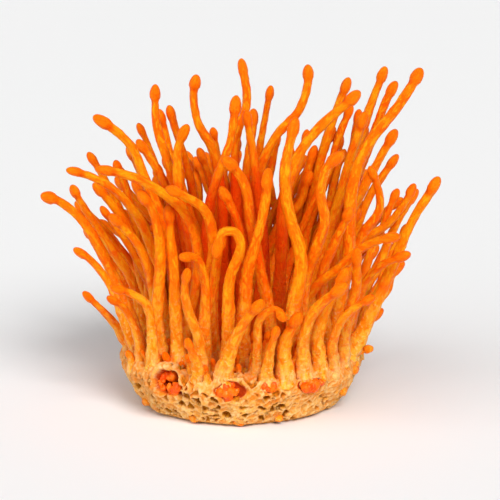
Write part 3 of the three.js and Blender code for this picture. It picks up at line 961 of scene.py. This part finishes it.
def buds_piece(roots, material):
    """Young fruiting bodies: short stubs wherever the roots leave room, and the lumps on the wall."""
    rng = np.random.default_rng(BUDS_SEED)
    skin = Skin()
    taken = [tuple(root) for root in roots]
    tries = 0
    while len(taken) < len(roots) + BUD_COUNT and tries < BUD_TRIES:
        tries += 1
        away, angle = BUD_LIMIT * math.sqrt(rng.uniform(0, 1)), rng.uniform(0, 2 * math.pi)
        x, y = away * math.cos(angle), away * math.sin(angle)
        if min(math.hypot(x - a, y - b) for a, b in taken) < BUD_SPACING or near_hollow(x, y):
            continue
        taken.append((x, y))
        r = rng.uniform(*BUD_RADII)
        in_thicket = THICKET[0] < x < THICKET[1] and THICKET[2] < y < THICKET[3]
        tall = rng.uniform(*(THICKET_HEIGHTS if in_thicket else BUD_HEIGHTS))
        lean = np.array([x, y, 0]) / LEAN_REACH * tall * BUD_LEAN
        root = np.array([x, y, CAKE_TOP])
        points = np.array([root, root + [0, 0, tall * 0.5] + lean * 0.3, root + [0, 0, tall] + lean])
        grow_stalk(skin, points, r, BUD_SEED + len(taken), BUD_VIGOUR, TUFT_SIDES, BUD_STEP)
    root, head, neck_r, head_r = RIM_BUD
    line = np.linspace(root, head, 3)
    grow_stalk(skin, line, neck_r, RIM_BUD_SEED, BUD_VIGOUR, TUFT_SIDES, BUD_STEP)
    blob(skin, np.array(head), [head_r * 1.15, head_r, head_r], RIM_BUD_SEED + 1)
    for i, (degrees, height, half) in enumerate(WALL_LUMPS):
        angle = math.radians(degrees)
        reach = wall_radius(height) - 0.5
        middle = np.array([reach * math.cos(angle), reach * math.sin(angle), height])
        blob(skin, middle, [half * 0.75, half * 1.15, half * 0.85], LUMP_SEED + i, angle)
    skin.to_object("young_buds", material)


# ---------------------------------------------------------------- the stage


def soft_sun(name, side, strength, degrees):
    """An even light from one side, like a large softbox far off."""
    light = bpy.data.objects.new(name, bpy.data.lights.new(name, "SUN"))
    light.data.energy = strength
    light.data.angle = math.radians(degrees)
    light.rotation_euler = Vector(side).to_track_quat("Z", "Y").to_euler()
    bpy.context.scene.collection.objects.link(light)


def stage():
    """Camera, lights, a plain pale floor and a white room."""
    scene = bpy.context.scene
    scene.view_settings.view_transform = "Standard"
    camera = bpy.data.objects.new("camera", bpy.data.cameras.new("camera"))
    scene.collection.objects.link(camera)
    tilt = math.radians(CAMERA_ELEVATION)
    away = Vector((0, -math.cos(tilt), math.sin(tilt))) * CAMERA_DISTANCE
    camera.location = (Vector(CAMERA_TARGET) + away) * MM
    camera.rotation_euler = (-away).to_track_quat("-Z", "Y").to_euler()
    camera.data.sensor_width = SENSOR_WIDTH
    camera.data.lens = SENSOR_WIDTH * CAMERA_DISTANCE / VIEW_WIDTH
    camera.data.clip_end = FARTHEST
    scene.camera = camera

    bpy.ops.mesh.primitive_plane_add(size=FLOOR_SIZE)
    floor = bpy.context.active_object
    floor.name = "floor"
    floor.data.materials.append(floor_material())

    world = bpy.data.worlds.new("room")
    world.use_nodes = True
    background = world.node_tree.nodes["Background"]
    background.inputs["Color"].default_value = (1, 1, 1, 1)
    background.inputs["Strength"].default_value = ROOM_LIGHT
    scene.world = world
    soft_sun("key", *KEY_LIGHT)
    soft_sun("fill", *FILL_LIGHT)


# ---------------------------------------------------------------- everything


def build():
    flesh, cake, nodules = flesh_material(), cake_material(), nodule_material()
    singles = sorted(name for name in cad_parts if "_stalk_" in name)
    roots, fixed, fixed_radii = [], [], []
    for seed, name in enumerate(singles):
        line, radii = centreline(name)
        r = radii[0] / ROOT_WIDTH
        skin = Skin()
        grow_stalk(skin, line, r, seed)
        skin.to_object(name + "_skin", flesh, [name])
        roots.append(line[0, :2])
        along = distances(line)
        at = np.arange(0, along[-1], FIXED_STEP)
        fixed.append(smooth_line(line, at))
        fixed_radii.append(r * (FOOT_WIDTH + (NECK_WIDTH - FOOT_WIDTH) * at / along[-1]))

    routes, owners = [], []
    for seed, name in enumerate(TUFT_TIPS):
        members = member_routes(name, seed + 1)
        routes += members
        owners += [name] * len(members)
    rng = np.random.default_rng(RADII_SEED)
    member_r = rng.uniform(*MEMBER_RADII, len(routes))
    fixed, fixed_radii = np.concatenate(fixed), np.concatenate(fixed_radii)
    routes = push_clear(np.array(routes), member_r, fixed, fixed_radii)
    tufts = {name: Skin() for name in TUFT_TIPS}
    for i, (route, r, owner) in enumerate(zip(routes, member_r, owners)):
        grow_stalk(tufts[owner], route, r, MEMBER_SEED + i, sides=TUFT_SIDES, step=TUFT_STEP)
        roots.append(route[0, :2])
    for name, skin in tufts.items():
        skin.to_object(name + "_stalks", flesh, [name])

    roots = np.array(roots)
    cake_piece(roots, cake)
    nodules_piece(nodules)
    buds_piece(roots, flesh)


build()
stage()
